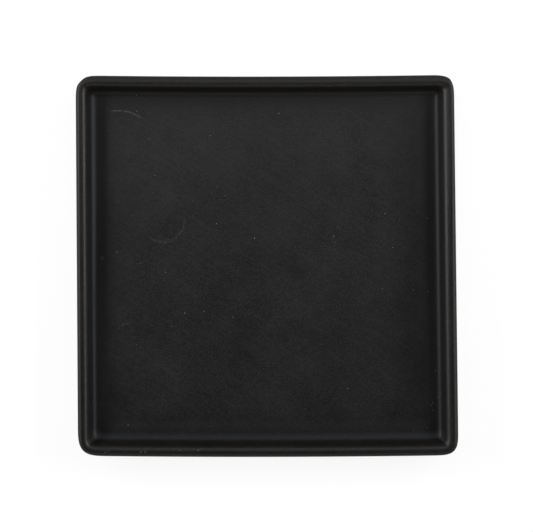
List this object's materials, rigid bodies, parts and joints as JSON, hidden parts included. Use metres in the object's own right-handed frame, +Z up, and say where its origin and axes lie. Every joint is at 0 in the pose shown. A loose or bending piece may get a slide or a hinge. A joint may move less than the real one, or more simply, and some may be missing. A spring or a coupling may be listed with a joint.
{
  "type": "square dinner plate",
  "caption": "Square stoneware dinner plate with a raised, rounded rim, a flat well and a dry foot ring, under matte black glaze.",
  "frame": {"origin": "centre of the square the plate covers, on the surface it stands on", "axes": "+Z up out of the well; X and Y along the plate's sides, with +X to the right and +Y to the top of the picture"},
  "size_m": [0.26, 0.26, 0.02],
  "materials": {
    "fired_clay": "matte",
    "black_glaze": "satin",
    "underside_glaze": "matte"
  },
  "bodies": {
    "root": {"stoneware_body": "fired_clay", "face_glaze": "black_glaze", "underside_glaze": "underside_glaze"}
  },
  "joints": []
}
